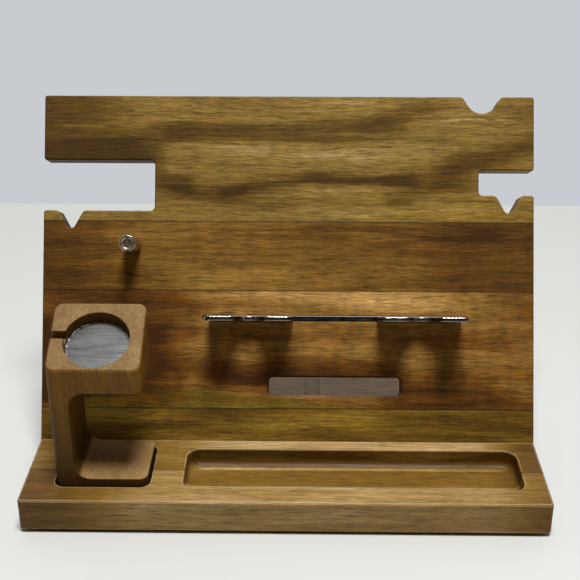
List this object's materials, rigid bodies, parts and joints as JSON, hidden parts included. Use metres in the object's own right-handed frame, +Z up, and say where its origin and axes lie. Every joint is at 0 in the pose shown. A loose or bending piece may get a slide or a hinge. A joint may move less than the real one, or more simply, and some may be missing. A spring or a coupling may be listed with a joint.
{
  "type": "phone and watch docking stand",
  "caption": "Wooden desk dock: base with pen tray, leaning board with slots and notches for glasses, keys and cable, steel fork phone rest, peg, and lift-off watch stand.",
  "frame": {"origin": "middle of the box round the stand, on the surface it rests on", "axes": "+Z up, the front faces -Y, X across the width"},
  "size_m": [0.305, 0.1728, 0.2136],
  "materials": {
    "base_wood": "oiled satin, straight grain",
    "olive_wood": "oiled satin, dark streaks",
    "dark_wood": "oiled satin",
    "golden_wood": "oiled satin",
    "stand_wood": "oiled satin, end grain on top",
    "brushed_disc": "brushed",
    "polished_steel": "polished",
    "screw_steel": "zinc plated",
    "foot_rubber": "matte"
  },
  "bodies": {
    "dock": {"base_stave_front": "base_wood", "base_stave_middle": "base_wood", "base_stave_back": "base_wood", "backboard_stave_1": "olive_wood", "backboard_stave_2": "dark_wood", "backboard_stave_3": "golden_wood", "backboard_stave_4": "olive_wood", "phone_rest": "polished_steel", "key_peg": "polished_steel", "board_screws": "screw_steel", "phone_rest_screws": "screw_steel", "peg_screw": "screw_steel", "foot_front_left": "foot_rubber", "foot_front_right": "foot_rubber", "foot_back_left": "foot_rubber", "foot_back_right": "foot_rubber"},
    "watch_stand_body": {"watch_stand": "stand_wood", "watch_disc": "brushed_disc"}
  },
  "joints": [
    {"name": "watch_stand_lift", "type": "slide", "parent": "dock", "child": "watch_stand_body", "axis": [0, 0, 1], "range_m": [0, 0.04]}
  ]
}
